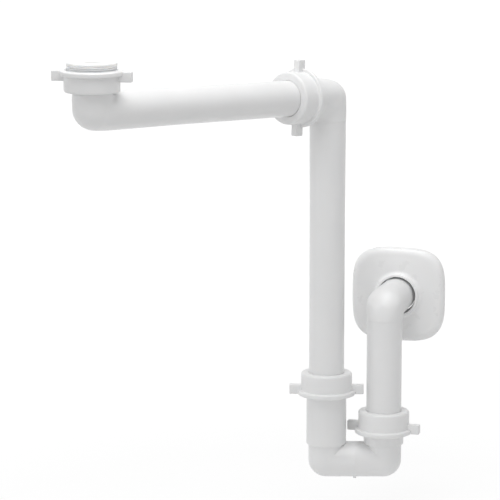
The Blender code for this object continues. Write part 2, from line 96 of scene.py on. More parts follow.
# Creases and outer corners of the elbows
SKIN = 0.0002                 # depth below the hub's surface that still counts as outside
NUDGE = 0.00001               # step for a fillet's slope, and how near its height has to come
FILL_ROUNDS = 6
INNER_GAIN = 1.6              # how soon the fillet is full, going round from the elbow's side
FLAT_FROM = 0.1               # where an elbow's flattened corner begins, from its middle
FLAT_POWER = 1.5
INLET_CREASE, INLET_FLAT = 0.0025, 0.0018
TOP_CREASE, TOP_FLAT = 0.0090, 0.0030
OUTLET_CREASE, OUTLET_FLAT = 0.0080, 0.0045

# Sockets and their thread
PITCH = 0.002309
THREAD_R = 0.0209
THREAD_LENGTH = 0.0132
THREAD_DEPTH = 0.0010
THREAD_CREST = 0.2            # share of the pitch
THREAD_FLANK = 0.6            # share of the pitch, both flanks together
THREAD_RING_STEP = PITCH / 9
THREAD_FOOT = 0.0159          # where the socket starts to widen to its thread, from its mouth
THREAD_FOOT_ROUND = 0.001
SEAT_R = 0.0193
SEAT_DEPTH = 0.0036
SOCKET_BORE_R = 0.0163
SOCKET_R = 0.0182
SOCKET_CHAMFER = 0.0006
ARM_STOP = 0.0214
ARM_STOP_SLOPE = 0.0010
ARM_MOUTH = 0.0501
TALL_MOUTH = 0.0747
SHORT_MOUTH = 0.0389

# Bend
TRAP_R = 0.0162
TRAP_STEP = 0.0149
TRAP_STEP_HEIGHT = 0.0020
TRAP_STEP_ROUND = 0.0009
TRAP_LEG = 0.0166
TRAP_STOP = 0.0170
TRAP_SPAN = 0.0525
SEAM = 0.00008                # height of the seam round the bend
NIB_R = 0.0017
NIB_TIP_R = 0.0014
NIB_DROP = 0.0018
NIB_ROOT = BORE_R + 0.001     # where the nib starts, in the bend's wall

# Nuts
NUT_ON_SOCKET = 0.0069        # a compression nut's closed end beyond the socket's mouth
INLET_NUT_HOLE_R = 0.0175
NUT_HOLE_R = PIPE_R + 0.00018   # close round the pipe, as the photograph shows
NUT_BORE_R = 0.0213
NUT_BORE_CHAMFER = 0.0005
NUT_THREAD_DEPTH = 0.0009
NUT_THREAD_END = 0.003        # from the thread to the bottom of the bore
NUT_R = 0.0233
NUT_HEIGHT = 0.0210
INLET_NUT_HEIGHT = 0.0183
NUT_END = 0.0026
NUT_SHOULDER_ROUND = 0.0021
FLANGE_R = 0.0265
FLANGE_FOOT_R = 0.0250
FLANGE_LOW = 0.0008
FLANGE_THICK = 0.0036
FLANGE_ROOT_ROUND = 0.0007
FLANGE_TOP_ROUND = 0.0012
FLANGE_LOW_ROUND = 0.0009
WING_TIP = 0.0339
WING_HEIGHT = 0.0088
WING_THICK = 0.0065
WING_ROUND = 0.0009
CIRCULAR = 0.5                # a bevel's profile that is part of a circle
INLET_NUT_TURN = math.radians(4.8)
TALL_NUT_TURN = math.radians(14.7)
SHORT_NUT_TURN = math.radians(-1.5)

# Seals and slip rings
SEAL_HEIGHT = 0.0025
SEAL_INSIDE_NUT = 0.0011
SLIP_THICK = 0.0012
SLIP_INSIDE_NUT = 0.0007
LIP_INSIDE_NUT = 0.0003
LIP_SLOPE = 0.0045            # width of the slope that ends the inlet seal's face
LIP_SLOPE_ROUND = 0.0014
LIP_FALL = 0.0013
LIP_FOOT = 0.0022
SIDE_BACK = 0.0001            # the seal's side behind its lip
SIDE_TOP = 0.0024
GROOVES = 3
GROOVE_TOP = 0.0029
GROOVE_EVERY = 0.0016
GROOVE_DEPTH = 0.0006
GROOVE_SIDE = 0.0003          # height of a groove's slope, and of its bottom
PLUG_INSIDE_BORE = 0.0006
PLUG_WALL = 0.0010
PLUG_LENGTH = 0.0050
PLUG_THINNING = 0.0006
FUNNEL = 0.0036               # added to the hole's radius at the face of the seal
FUNNEL_DEPTH = 0.0024
SKIRT_GAP = 0.0002            # between the skirt and the collar

# Places
UP = Vector((0.0, 0.0, 1.0))
WALL_AXIS = Vector((0.0, 1.0, 0.0))
ARM_FLAT = Vector((math.cos(ARM_HEADING), math.sin(ARM_HEADING), 0.0))
ARM_AXIS = ARM_FLAT * math.cos(ARM_FALL) - UP * math.sin(ARM_FALL)
TRAP_HEADING = math.radians(16.0)
TRAP_AXIS = Vector((math.cos(TRAP_HEADING), math.sin(TRAP_HEADING), 0.0))
INLET_CORNER = UP * -INLET_DROP
DOWN_CORNER = INLET_CORNER + ARM_AXIS * ARM_SPAN
TRAP_CORNER = DOWN_CORNER - UP * DOWN_DROP
RISER_FOOT = TRAP_CORNER + TRAP_AXIS * TRAP_SPAN
OUTLET_CORNER = RISER_FOOT + UP * RISER_HEIGHT


# Materials
CLOUD = (38.0, 4.0, 0.55)     # scale, detail and roughness of a noise
WIPE = (95.0, 5.0, 0.60)
RIPPLE = (70.0, 2.0, 0.55)
GRAIN = (1900.0, 2.0, 0.55)
NOISE_MIDDLE = (0.3, 0.7)     # the range that holds most of a noise's values
GLOSSIER = 0.05               # how far the roughness goes down, and up
DULLER = 0.06
BEVEL_SAMPLES = 4
REACHES = (1.0, 0.92, 0.83)   # red light goes further in than green and blue


def set_inputs(tree, node, inputs):
    """Gives each input its value, or a link from another node's output."""
    for key, value in inputs.items():
        if isinstance(value, bpy.types.NodeSocket):
            tree.links.new(value, node.inputs[key])
        else:
            node.inputs[key].default_value = value


def node_of(tree, kind, inputs, operation=None):
    node = tree.nodes.new(kind)
    if operation:
        node.operation = operation
    set_inputs(tree, node, inputs)
    return node


def mapped(tree, value, before, after):
    """The value, with the range before mapped to the range after."""
    keys = ("Value", "From Min", "From Max", "To Min", "To Max")
    node = node_of(tree, "ShaderNodeMapRange", dict(zip(keys, (value, *before, *after))))
    return node.outputs["Result"]


def noise(tree, coordinates, kind):
    keys = ("Vector", "Scale", "Detail", "Roughness")
    return node_of(tree, "ShaderNodeTexNoise", dict(zip(keys, (coordinates, *kind)))).outputs["Fac"]


def bump(tree, height, distance, normal):
    inputs = {"Strength": 1.0, "Distance": distance, "Height": height, "Normal": normal}
    return node_of(tree, "ShaderNodeBump", inputs).outputs["Normal"]


def surface(name, colour, dull, roughness, grain, ripple, edge, through=0.0, reach=0.0024):
    """A moulded surface: cloudy tint, uneven gloss, fine grain, slow ripple, soft edges."""
    material = bpy.data.materials.new(name)
    material.use_nodes = True
    tree = material.node_tree
    place = tree.nodes.new("ShaderNodeTexCoord").outputs["Object"]
    cloud = mapped(tree, noise(tree, place, CLOUD), NOISE_MIDDLE, (0.0, 1.0))
    tint = tree.nodes.new("ShaderNodeMix")
    tint.data_type = "RGBA"
    set_inputs(tree, tint, {"Factor": cloud, "A": (*colour, 1.0), "B": (*dull, 1.0)})
    gloss = mapped(tree, noise(tree, place, WIPE), NOISE_MIDDLE,
                   (roughness - GLOSSIER, roughness + DULLER))
    soft = node_of(tree, "ShaderNodeBevel", {"Radius": edge})
    soft.samples = BEVEL_SAMPLES
    slow = bump(tree, noise(tree, place, RIPPLE), ripple, soft.outputs["Normal"])
    fine = bump(tree, noise(tree, place, GRAIN), grain, slow)
    shader = tree.nodes["Principled BSDF"]
    set_inputs(tree, shader, {
        "Base Color": (*colour, 1.0), "Roughness": roughness, "Subsurface Weight": through,
        "Subsurface Radius": [share * reach for share in REACHES], "Subsurface Scale": 1.0})
    set_inputs(tree, shader, {
        "Base Color": tint.outputs["Result"], "Roughness": gloss, "Normal": fine})
    return material


PLASTIC = surface("white_plastic", (0.87, 0.87, 0.87), (0.85, 0.852, 0.853), roughness=0.34,
                  grain=0.0000045, ripple=0.00003, edge=0.0006, through=0.08)
# A lighter copy of the white plastic: painted light, for the brighter light that falls on the
# rosette's face.
ROSETTE_LIT_WHITE = surface("rosette_lit_plastic", (0.93, 0.93, 0.93), (0.91, 0.912, 0.913), roughness=0.30,
                        grain=0.0000035, ripple=0.00003, edge=0.0006, through=0.08)
SEAL_SOFT = surface("soft_white_seal", (0.94, 0.94, 0.935), (0.925, 0.925, 0.915), roughness=0.50,
                    grain=0.000008, ripple=0.00004, edge=0.0002, through=0.65, reach=0.0055)
RUBBER = surface("dark_rubber", (0.16, 0.16, 0.17), (0.13, 0.13, 0.135), roughness=0.68,
                 grain=0.000012, ripple=0.00004, edge=0.0004)


# Shapes
def ease(t):
    """0 to 1, slow at both ends."""
    return t * t * (3 - 2 * t)


def rounded(points, closed=False):
    """A path of (x, y) from (x, y[, size]): a corner with a size is rounded over that length."""
    path = []
    count = len(points)
    for i, point in enumerate(points):
        here = Vector(point[:2])
        size = point[2] if len(point) > 2 else 0.0
        if size == 0.0 or (not closed and i in (0, count - 1)):
            path.append(tuple(here))
            continue
        before = Vector(points[i - 1][:2]) - here
        after = Vector(points[(i + 1) % count][:2]) - here
        cut = min(size, before.length * EDGE_SHARE, after.length * EDGE_SHARE)
        first = here + before.normalized() * cut
        last = here + after.normalized() * cut
        for k in range(EDGE_STEPS + 1):
            t = k / EDGE_STEPS
            path.append(tuple(first * (1 - t) ** 2 + here * (2 * t * (1 - t)) + last * t ** 2))
    return path


def densified(path, axis, low, high, step):
    """The same path with points at every step from low to high, where it runs along the axis."""
    marks = [low + step * k for k in range(int((high - low) / step) + 1)]
    dense = []
    for start, end in zip(path, path[1:]):
        dense.append(start)
        if abs(start[1 - axis] - end[1 - axis]) > SNAP:
            continue
        least, most = sorted((start[axis], end[axis]))
        inside = [mark for mark in marks if least + WELD < mark < most - WELD]
        for mark in sorted(inside, reverse=end[axis] < start[axis]):
            t = (mark - start[axis]) / (end[axis] - start[axis])
            dense.append(tuple(a + (b - a) * t for a, b in zip(start, end)))
    return dense + [path[-1]]


def groove(angle, height, low, high):
    """Depth of a right-hand thread's groove, 0 on the crest to 1 at the root."""
    phase = (height / PITCH - angle / math.tau) % 1.0
    saw = 1.0 - abs(2.0 * phase - 1.0)
    deep = min(max((saw - THREAD_CREST) / THREAD_FLANK, 0.0), 1.0)
    fade = min((height - low) / PITCH, (high - height) / PITCH, 1.0)
    return deep * max(fade, 0.0)


def add_faces(bm, loops, closed):
    """Faces between each loop of points and the next, and from the last to the first if closed."""
    count = len(loops[0])
    pairs = list(zip(loops, loops[1:]))
    if closed:
        pairs.append((loops[-1], loops[0]))
    for low, high in pairs:
        for i in range(count):
            j = (i + 1) % count
            bm.faces.new((low[i], low[j], high[j], high[i]))


def lathe(bm, path, place, closed, thread=None):
    """Turns a path of (radius, height). thread is (crest radius, low, high, depth)."""
    rings = []
    for radius, height in path:
        ring = []
        for i in range(SEGMENTS):
            angle = math.tau * i / SEGMENTS
            r = radius
            if thread and abs(radius - thread[0]) < SNAP:
                r += thread[3] * groove(angle, height, thread[1], thread[2])
            point = Vector((r * math.cos(angle), r * math.sin(angle), height))
            ring.append(bm.verts.new(place @ point))
        rings.append(ring)
    add_faces(bm, rings, closed)


def smoothed(mesh):
    mesh.shade_smooth()
    mesh.set_sharp_from_angle(angle=SHARP)


def to_object(bm, name, material):
    bmesh.ops.remove_doubles(bm, verts=bm.verts, dist=WELD)
    bmesh.ops.recalc_face_normals(bm, faces=bm.faces)
    mesh = bpy.data.meshes.new(name)
    bm.to_mesh(mesh)
    bm.free()
    if material:
        mesh.materials.append(material)
    smoothed(mesh)
    obj = bpy.data.objects.new(name, mesh)
    bpy.context.scene.collection.objects.link(obj)
    return obj


def joined(obj, others):
    """obj united with the others by Boolean, as one closed mesh."""
    for other in others:
        modifier = obj.modifiers.new("join", "BOOLEAN")
        modifier.operation = "UNION"
        modifier.solver = "EXACT"
        modifier.object = other
    bpy.context.view_layer.update()
    evaluated = obj.evaluated_get(bpy.context.evaluated_depsgraph_get())
    mesh = bpy.data.meshes.new_from_object(evaluated)
    obj.modifiers.clear()
    old = obj.data
    obj.data = mesh
    mesh.name = obj.name
    bpy.data.meshes.remove(old)
    for other in others:
        bpy.data.objects.remove(other)
    smoothed(mesh)
    return obj


def stand_for(obj, node, body):
    """obj takes the place of the model's node and moves with the body."""
    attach(obj, body)
    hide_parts(node)


def ring_piece(node, body, points, place, material):
    bm = bmesh.new()
    lathe(bm, rounded(points, True), place, True)
    stand_for(to_object(bm, node + "_fine", material), node, body)


# Moulded pipes, as paths of (distance from the corner, radius[, rounding])
def nose(radius):
    """The ball corner of an elbow, from beyond its mitre plane to the start of the leg."""
    turns = [NOSE_ANGLE * (NOSE_STEPS - i) / NOSE_STEPS for i in range(NOSE_STEPS + 1)]
    return [(-radius * math.sin(t), radius * math.cos(t)) for t in turns]


def bore(end):
    return [(end, BORE_R)] + nose(BORE_R)[::-1]


def stepped(hub_r, hub_length, draft):
    """A hub with the fine step that the mould leaves at its end, and the draft to the pipe."""
    path = nose(hub_r) + [(hub_length - RIDGE_FOOT, hub_r), (hub_length - RIDGE, hub_r + RIDGE)]
    path += [(hub_length + HUB_STEP, hub_r - HUB_STEP)]
    return path + [(HUB_LENGTH + draft, PIPE_R, DRAFT_ROUND)]


def pipe_end(length):
    """A pipe's chamfered end, and its bore back to the elbow."""
    path = [(length - PIPE_CHAMFER, PIPE_R, SMALL), (length, PIPE_R - PIPE_CHAMFER, CRISP)]
    return path + [(length, BORE_R + BORE_CHAMFER)] + bore(length - BORE_CHAMFER)


def socket_run(start, mouth, stop):
    """A socket from the outside of its start, over its mouth and seat, to the stop inside."""
    top = mouth - THREAD_LENGTH
    outside = [(start, SOCKET_R, BROAD), (mouth - THREAD_FOOT, SOCKET_R, THREAD_FOOT_ROUND)]
    outside += [(top, THREAD_R), (mouth - SOCKET_CHAMFER, THREAD_R)]
    outside += [(mouth, THREAD_R - SOCKET_CHAMFER, CRISP)]
    inside = [(mouth, SEAT_R, SMALL), (mouth - SEAT_DEPTH, SOCKET_BORE_R, EASED)]
    return outside + inside + [(stop, SOCKET_BORE_R)]


def threaded(path, mouth):
    """A socket's path with rings for its thread, and that thread."""
    low, high = mouth - THREAD_LENGTH, mouth - SOCKET_CHAMFER
    return densified(path, 0, low, high, THREAD_RING_STEP), (THREAD_R, low, high, -THREAD_DEPTH)


def add_leg(body, corner, axis, other, runs, mouth=None, dense=0.0):
    """One straight leg of an elbow, turned and cut at the mitre plane."""
    outer = -(other - axis * other.dot(axis)).normalized()
    side = axis.cross(outer)
    place = Matrix.Translation(corner) @ Matrix((outer, side, axis)).transposed().to_4x4()
    leg = bmesh.new()
    thread = None
    for run in runs:
        path = rounded(run)
        if dense:
            path = densified(path, 0, 0.0, dense, HUB_RING_STEP)
        if mouth:
            path, thread = threaded(path, mouth)
        lathe(leg, [(radius, along) for along, radius in path], place, False, thread)
    bmesh.ops.remove_doubles(leg, verts=leg.verts, dist=WELD)
    geometry = leg.verts[:] + leg.edges[:] + leg.faces[:]
    bmesh.ops.bisect_plane(leg, geom=geometry, dist=SNAP, plane_co=corner,
                           plane_no=(axis - other).normalized(), clear_inner=True)
    mesh = bpy.data.meshes.new("leg")
    leg.to_mesh(mesh)
    leg.free()
    body.from_mesh(mesh)
    bpy.data.meshes.remove(mesh)


def fillet(away, axis, other, radius, reach):
    """How far a point is outside two legs, and how high their fillet is there."""
    if (axis - other).dot(away) < 0:
        axis, other = other, axis
    beside = away - axis * away.dot(axis)
    towards = (other - axis * other.dot(axis)).normalized()
    first = beside.length - radius
    second = (away - other * away.dot(other)).length - radius
    near = max(reach - abs(first - second), 0.0) / reach
    inner = ease(min(max(beside.dot(towards) / radius, 0.0) * INNER_GAIN, 1.0))
    return min(first, second), inner * near * near * reach / 4


def fill_crease(body, corner, axis, other, radius, reach):
    """Fills the inner crease of an elbow's outside with a smooth fillet."""
    nudges = [Vector([NUDGE if i == k else 0.0 for i in range(3)]) for k in range(3)]
    for vert in body.verts:
        away = vert.co - corner
        start, fill = fillet(away, axis, other, radius, reach)
        if start < -SKIN or fill == 0.0:
            continue
        for _ in range(FILL_ROUNDS):
            outside, fill = fillet(away, axis, other, radius, reach)
            short = fill + min(start, 0.0) - outside
            if short < NUDGE:
                break
            slope = []
            for nudge in nudges:
                outside_by, fill_by = fillet(away + nudge, axis, other, radius, reach)
                slope.append((outside_by - fill_by - outside + fill) / NUDGE)
            slope = Vector(slope)
            away = away + slope * (short / slope.length_squared)
        vert.co = corner + away


def flatten_corner(body, corner, axis, other, squash):
    """Flattens the outer corner of an elbow, its inside as much as its outside."""
    outward = -(axis + other).normalized()
    for vert in body.verts:
        away = vert.co - corner
        nearest = axis if away.dot(axis - other) > 0 else other
        radius = (away - nearest * max(away.dot(nearest), 0.0)).length
        height = (away.dot(outward) / radius - FLAT_FROM) / (1 - FLAT_FROM)
        if height > 0:
            vert.co -= outward * (radius / HUB_R * squash * height ** FLAT_POWER)


def make_elbow(node, body, corner, legs, hub_r, crease, flat, mouth=None):
    """Two legs of (axis, run) in one moulding. mouth is that of the first leg's socket."""
    (axis, run), (other, other_run) = legs
    bm = bmesh.new()
    add_leg(bm, corner, axis, other, [run], mouth, HUB_LENGTH)
    add_leg(bm, corner, other, axis, [other_run], None, HUB_LENGTH)
    fill_crease(bm, corner, axis, other, hub_r, crease)
    flatten_corner(bm, corner, axis, other, flat)
    stand_for(to_object(bm, node + "_fine", PLASTIC), node, body)


def make_inlet_arm():
    top = INLET_DROP - COLLAR_BELOW
    collar = top - COLLAR_THICK
    upper = nose(HUB_R) + [(collar, HUB_R, BROAD), (collar, COLLAR_R, SOFT)]
    upper += [(top, COLLAR_R, EASED)] + bore(top)
    arm = nose(HUB_R) + [(HUB_LENGTH, HUB_R, BROAD)]
    arm += [(HUB_LENGTH + DRAFT_LENGTH, PIPE_R, DRAFT_ROUND)] + pipe_end(ARM_SPAN - ARM_END)
    make_elbow("inlet_arm", "inlet", INLET_CORNER, ((UP, upper), (ARM_AXIS, arm)),
               HUB_R, INLET_CREASE, INLET_FLAT)


def make_down_pipe():
    socket = nose(HUB_R) + [(HUB_LENGTH, HUB_R, BROAD)]
    socket += socket_run(ARM_STOP, ARM_MOUTH, ARM_STOP) + bore(ARM_STOP - ARM_STOP_SLOPE)
    pipe = stepped(HUB_R, TOP_HUB_LENGTH, DRAFT_LENGTH)
    pipe += pipe_end(DOWN_DROP - TRAP_STOP - DOWN_END)
    make_elbow("down_pipe", "down_pipe", DOWN_CORNER, ((-ARM_AXIS, socket), (-UP, pipe)),
               HUB_R, TOP_CREASE, TOP_FLAT, ARM_MOUTH)


def make_outlet_pipe():
    hub = stepped(OUTLET_HUB_R, OUTLET_HUB_LENGTH, OUTLET_DRAFT)
    riser = hub + pipe_end(RISER_HEIGHT - TRAP_STOP - RISER_END)
    outlet = hub + pipe_end(WALL_DISTANCE + OUTLET_INTO_WALL)
    make_elbow("outlet_pipe", "outlet_pipe", OUTLET_CORNER, ((-UP, riser), (WALL_AXIS, outlet)),
               OUTLET_HUB_R, OUTLET_CREASE, OUTLET_FLAT)


def socket_ring(name, corner, mouth):
    inside = (BORE_R + TRAP_R) / 2
    run = [(TRAP_STEP, inside), (TRAP_STEP, SOCKET_R, TRAP_STEP_ROUND)]
    run += socket_run(TRAP_STEP + TRAP_STEP_HEIGHT, mouth, TRAP_STOP) + [(TRAP_STOP, inside)]
    path, thread = threaded(rounded(run, True), mouth)
    bm = bmesh.new()
    turned = [(radius, along) for along, radius in path]
    lathe(bm, turned, Matrix.Translation(corner), True, thread)
    return to_object(bm, name, None)


def make_trap_bend():
    body = bmesh.new()
    half = TRAP_SPAN / 2
    seam = [(half - RIDGE_FOOT, TRAP_R), (half - RIDGE, TRAP_R + SEAM), (half, TRAP_R + SEAM)]
    for corner, along in ((TRAP_CORNER, TRAP_AXIS), (RISER_FOOT, -TRAP_AXIS)):
        add_leg(body, corner, UP, along, [nose(TRAP_R) + [(TRAP_LEG, TRAP_R)] + bore(TRAP_LEG)])
        add_leg(body, corner, along, UP, [nose(TRAP_R) + seam, bore(half)])
    bend = to_object(body, "trap_bend_fine", PLASTIC)
    nib = bmesh.new()
    middle = (TRAP_CORNER + RISER_FOOT) / 2
    tip = -TRAP_R - NIB_DROP
    path = rounded([(0.0, -NIB_ROOT), (NIB_R, -NIB_ROOT), (NIB_TIP_R, tip, EASED), (0.0, tip)])
    lathe(nib, path, Matrix.Translation(middle), False)
    parts = [socket_ring("tall_ring", TRAP_CORNER, TALL_MOUTH),
             socket_ring("short_ring", RISER_FOOT, SHORT_MOUTH), to_object(nib, "nib", None)]
    stand_for(joined(bend, parts), "trap_bend", "trap_bend")


# Nuts, seals and rings, as paths of (radius, height[, rounding])
def make_nut(node, place, hole_r, height):
    """Open end at height 0 of its place, closed end above, with a thread in its bore."""
    top = FLANGE_LOW + FLANGE_THICK
    inner_end = height - NUT_END
    thread_end = inner_end - NUT_THREAD_END
    points = [(hole_r, height, EASED), (NUT_R, height, NUT_SHOULDER_ROUND)]
    points += [(NUT_R, top, FLANGE_ROOT_ROUND), (FLANGE_R, top, FLANGE_TOP_ROUND)]
    points += [(FLANGE_R, FLANGE_LOW, FLANGE_LOW_ROUND), (FLANGE_FOOT_R, 0.0, EASED)]
    points += [(NUT_BORE_R + NUT_BORE_CHAMFER, 0.0, CRISP), (NUT_BORE_R, NUT_BORE_CHAMFER)]
    points += [(NUT_BORE_R, thread_end), (NUT_BORE_R, inner_end, SOFT), (hole_r, inner_end, SMALL)]
    path = densified(rounded(points, True), 1, NUT_BORE_CHAMFER, thread_end, THREAD_RING_STEP)
    bm = bmesh.new()
    lathe(bm, path, place, True, (NUT_BORE_R, NUT_BORE_CHAMFER, thread_end, NUT_THREAD_DEPTH))
    nut = to_object(bm, node + "_fine", PLASTIC)
    wings = bmesh.new()
    root = (NUT_BORE_R + NUT_R) / 2
    size = Vector((WING_TIP - root, WING_THICK, WING_HEIGHT))
    for side in (1, -1):
        centre = Vector((side * (root + size.x / 2), 0.0, FLANGE_LOW + WING_HEIGHT / 2))
        matrix = place @ Matrix.Translation(centre) @ Matrix.Diagonal(size).to_4x4()
        bmesh.ops.create_cube(wings, size=1.0, matrix=matrix)
    bmesh.ops.bevel(wings, geom=wings.edges, offset=WING_ROUND, segments=EDGE_STEPS,
                    profile=CIRCULAR, affect="EDGES")
    stand_for(joined(nut, [to_object(wings, node + "_wings", None)]), node, node)


def make_joint(prefix, place, mouth, nut_turn):
    """The seal, slip ring and nut of a socket whose corner and direction are its place."""
    inner = SOCKET_BORE_R
    outer = NUT_BORE_R - SEAL_INSIDE_NUT
    drop = SEAT_DEPTH - 3 * CLEAR
    at_mouth = place @ Matrix.Translation(UP * mouth)
    seal = [(inner, SEAL_HEIGHT, EASED), (outer, SEAL_HEIGHT, SOFT), (outer, CLEAR, SOFT),
            (SEAT_R - CLEAR, CLEAR), (inner + CLEAR, -drop, CRISP), (inner, -drop)]
    ring_piece(prefix + "_seal", prefix + "_seal", seal, at_mouth, RUBBER)
    low = SEAL_HEIGHT + CLEAR
    high = low + SLIP_THICK
    outer = NUT_BORE_R - SLIP_INSIDE_NUT
    ring = [(inner, high, CRISP), (outer, high, CRISP), (outer, low, CRISP), (inner, low, CRISP)]
    ring_piece(prefix + "_slip_ring", prefix + "_slip_ring", ring, at_mouth, PLASTIC)
    open_end = Matrix.Translation(UP * (mouth + NUT_ON_SOCKET - NUT_HEIGHT))
    turned = place @ Matrix.Rotation(nut_turn, 4, "Z")
    make_nut(prefix + "_nut", turned @ open_end, NUT_HOLE_R, NUT_HEIGHT)


def make_inlet_seal():
    """The face with its lip, the grooved side, the skirt round the collar and the plug below."""
    foot = -COLLAR_BELOW + CLEAR
    skirt = -COLLAR_BELOW - COLLAR_THICK
    lip = NUT_BORE_R - LIP_INSIDE_NUT
    side = lip - SIDE_BACK
    plug = BORE_R - PLUG_INSIDE_BORE
    hole = plug - PLUG_WALL
    end = foot - PLUG_LENGTH
    points = [(hole + FUNNEL, 0.0, BROAD), (lip - LIP_SLOPE, 0.0, LIP_SLOPE_ROUND)]
    points += [(lip, -LIP_FALL, SOFT), (lip, -LIP_FOOT, EASED), (side, -SIDE_TOP)]
    for k in range(GROOVES):
        start = -GROOVE_TOP - GROOVE_EVERY * k
        for depth, slopes in ((0.0, 0), (GROOVE_DEPTH, 1), (GROOVE_DEPTH, 2), (0.0, 3)):
            points.append((side - depth, start - GROOVE_SIDE * slopes, CRISP))
    points += [(side, skirt, CRISP), (COLLAR_R + SKIRT_GAP, skirt, HAIR)]
    points += [(COLLAR_R + SKIRT_GAP, foot), (plug, foot, SMALL), (plug, end, CRISP)]
    points += [(hole - PLUG_THINNING, end, CRISP), (hole - PLUG_THINNING, -FUNNEL_DEPTH, BROAD)]
    ring_piece("inlet_seal", "inlet", points, Matrix.Identity(4), SEAL_SOFT)


# Rosette
ROSETTE_POINTS = 160
ROSETTE_SAG = 0.0003          # it hangs this much on its pipe
HALF = 0.04365
WALL = 0.0020
RIM = 0.0034
RIM_ROUND = 0.0075
RIM_EDGE = 0.0003
FACE = 0.0094
CROWN = 0.0106
RING_TOP = 0.0150
RING_FOOT_R = 0.0235          # of the raised round ring
RING_R = 0.0198
RING_ROUND = 0.0007
HOLE_R = 0.0176
HOLE_EDGE = 0.0003
HOLE_SHIFT = Vector((0.0010, 0.0004, 0.0))   # the ring's centre from the rosette's
SLEEVE = 0.0010               # back of the ring, and of the fin in its hole
FIN_R = 0.0165                # of the fin's hole, close round the pipe
FIN_THICK = 0.0020
FIN_SLOPE = 0.0005            # from the fin's edge out to the hole
SQUARENESS = 3.5              # of the outline: 2 is round, more is squarer
CURVE_STEPS = 12              # rings on the rim's round and on the face
RING_FOOT_STEPS = 10
RING_TOP_STEPS = 4
BACK_STEPS = 6


def quarter(steps):
    """Sine and cosine at each step of a quarter turn, after its start."""
    turns = [math.pi / 2 * k / steps for k in range(1, steps + 1)]
    return [(math.sin(turn), math.cos(turn)) for turn in turns]


def rosette_rings():
    """Rings as (half width, height, squareness), from the rim over the face and back.
    A round one is centred on the raised ring, or on the pipe where a fourth value is 0."""
    flat, foot = HALF - RIM_ROUND, RING_FOOT_R - WALL / 2
    rings = [(HALF - RIM_EDGE, 0.0, 1.0), (HALF, RIM_EDGE, 1.0), (HALF, RIM, 1.0)]
    for sine, cosine in quarter(CURVE_STEPS):
        rings.append((HALF - RIM_ROUND * (1 - cosine), RIM + (FACE - RIM) * sine, 1.0))
    for k in range(1, CURVE_STEPS + 1):
        t = k / CURVE_STEPS
        height = FACE + (CROWN - FACE) * (1 - (1 - t) ** 2)
        rings.append((flat * (1 - t) + RING_FOOT_R * t, height, 1 - ease(t)))
    for sine, cosine in quarter(RING_FOOT_STEPS):
        height = CROWN + (RING_TOP - RING_ROUND - CROWN) * (1 - cosine)
        rings.append((RING_FOOT_R - (RING_FOOT_R - RING_R) * sine, height, 0.0))
    for sine, cosine in quarter(RING_TOP_STEPS):
        rings.append((RING_R - RING_ROUND * (1 - cosine), RING_TOP - RING_ROUND * (1 - sine), 0.0))
    fin = SLEEVE + FIN_THICK
    rings += [(HOLE_R + HOLE_EDGE, RING_TOP, 0.0), (HOLE_R, RING_TOP - HOLE_EDGE, 0.0)]
    rings += [(HOLE_R, fin + FIN_SLOPE, 0.0), (FIN_R, fin, 0.0, 0.0)]
    rings += [(FIN_R, SLEEVE, 0.0, 0.0), (HOLE_R + WALL / 2, SLEEVE, 0.0)]
    rings += [(foot, CROWN - WALL, 0.0)]
    for k in range(1, BACK_STEPS + 1):
        t = k / BACK_STEPS
        height = (CROWN - WALL) * (1 - t) + (FACE - WALL) * t
        rings.append((foot * (1 - t) + flat * t, height, ease(t)))
    for sine, cosine in quarter(BACK_STEPS):
        rings.append((flat + (RIM_ROUND - WALL) * sine, RIM + (FACE - WALL - RIM) * cosine, 1.0))
    return rings + [(HALF - WALL, 0.0, 1.0)]


def make_rosette():
    bm = bmesh.new()
    place = Matrix.Translation(OUTLET_CORNER + WALL_AXIS * WALL_DISTANCE - UP * ROSETTE_SAG)
    place = place @ Matrix.Rotation(math.pi / 2, 4, "X")
    loops = []
    for half, height, square, *shift in rosette_rings():
        centre = HOLE_SHIFT * (shift[0] if shift else 1 - square)
        loop = []
        for i in range(ROSETTE_POINTS):
            turn = math.tau * i / ROSETTE_POINTS
            total = abs(math.cos(turn)) ** SQUARENESS + abs(math.sin(turn)) ** SQUARENESS
            radius = half * (1 - square) + half * total ** (-1 / SQUARENESS) * square
            point = Vector((radius * math.cos(turn), radius * math.sin(turn), height))
            loop.append(bm.verts.new(place @ (point + centre)))
        loops.append(loop)
    add_faces(bm, loops, True)
    stand_for(to_object(bm, "wall_rosette_fine", ROSETTE_LIT_WHITE), "wall_rosette", "wall_rosette")


make_inlet_arm()
make_down_pipe()
make_trap_bend()
make_outlet_pipe()
make_inlet_seal()
arm_top = -INLET_DROP + HUB_R / math.cos(ARM_FALL) - INLET_NUT_HOLE_R * math.tan(ARM_FALL)
flipped = Euler((math.pi, 0.0, INLET_NUT_TURN)).to_matrix().to_4x4()
inlet_place = flipped @ Matrix.Translation(UP * (-(arm_top + CLEAR) - INLET_NUT_HEIGHT))
make_nut("inlet_nut", inlet_place, INLET_NUT_HOLE_R, INLET_NUT_HEIGHT)
arm_turn = Euler((0.0, ARM_FALL - math.pi / 2, ARM_HEADING)).to_matrix().to_4x4()
make_joint("arm", Matrix.Translation(DOWN_CORNER) @ arm_turn, ARM_MOUTH, 0.0)
make_joint("trap_inlet", Matrix.Translation(TRAP_CORNER), TALL_MOUTH, TALL_NUT_TURN)
make_joint("trap_outlet", Matrix.Translation(RISER_FOOT), SHORT_MOUTH, SHORT_NUT_TURN)
make_rosette()


